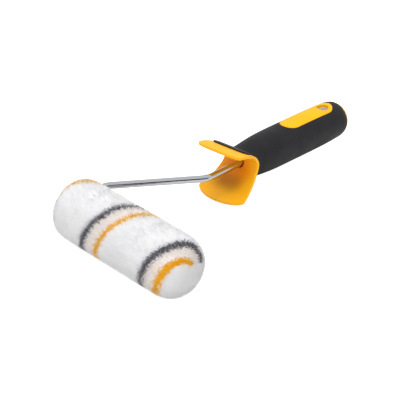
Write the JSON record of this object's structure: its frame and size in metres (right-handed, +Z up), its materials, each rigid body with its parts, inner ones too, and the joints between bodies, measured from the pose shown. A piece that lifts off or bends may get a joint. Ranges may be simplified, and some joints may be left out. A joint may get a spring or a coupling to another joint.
{
  "type": "paint roller",
  "caption": "Small hand paint roller: bent wire frame, soft-grip handle, flared splash guard and a striped pile sleeve with a closed rounded end.",
  "frame": {"origin": "middle of the outline in plan, on the surface that the roller and the guard's lower lip rest on", "axes": "+X along the roller axis towards its closed end, +Y from the roller towards the handle's butt, +Z up"},
  "size_m": [0.1464, 0.2908, 0.052],
  "materials": {
    "chromed_wire": "bright plated",
    "orange_plastic": "satin moulded",
    "soft_grip": "soft-touch moulded",
    "white_plastic": "natural moulded",
    "dark_plastic": "moulded",
    "core_plastic": "extruded",
    "backing": "knitted",
    "pile": "cut pile with grey and orange spiral stripes"
  },
  "bodies": {
    "frame": {"frame_rod": "chromed_wire", "stop_collar": "chromed_wire", "inner_washer": "white_plastic", "outer_washer": "white_plastic", "push_nut": "chromed_wire", "handle_core": "white_plastic", "front_guard": "orange_plastic", "guard_pad": "soft_grip", "grip_sleeve": "soft_grip", "top_panel": "orange_plastic", "butt_cap": "orange_plastic"},
    "spindle": {"spindle_barrel": "white_plastic", "inner_bush": "dark_plastic", "outer_bush": "dark_plastic", "sleeve_stop": "white_plastic", "spindle_cap": "white_plastic"},
    "sleeve": {"core_tube": "core_plastic", "end_plug": "white_plastic", "fabric_backing": "backing", "pile_cover": "pile", "pile_end": "pile"}
  },
  "joints": [
    {"name": "roller_spin", "type": "hinge", "parent": "frame", "child": "spindle", "pos_m": [0.00265, -0.1194, 0.026], "axis": [1, 0, 0], "continuous": true},
    {"name": "sleeve_pull_off", "type": "slide", "parent": "spindle", "child": "sleeve", "axis": [1, 0, 0], "range_m": [0, 0.13]}
  ]
}
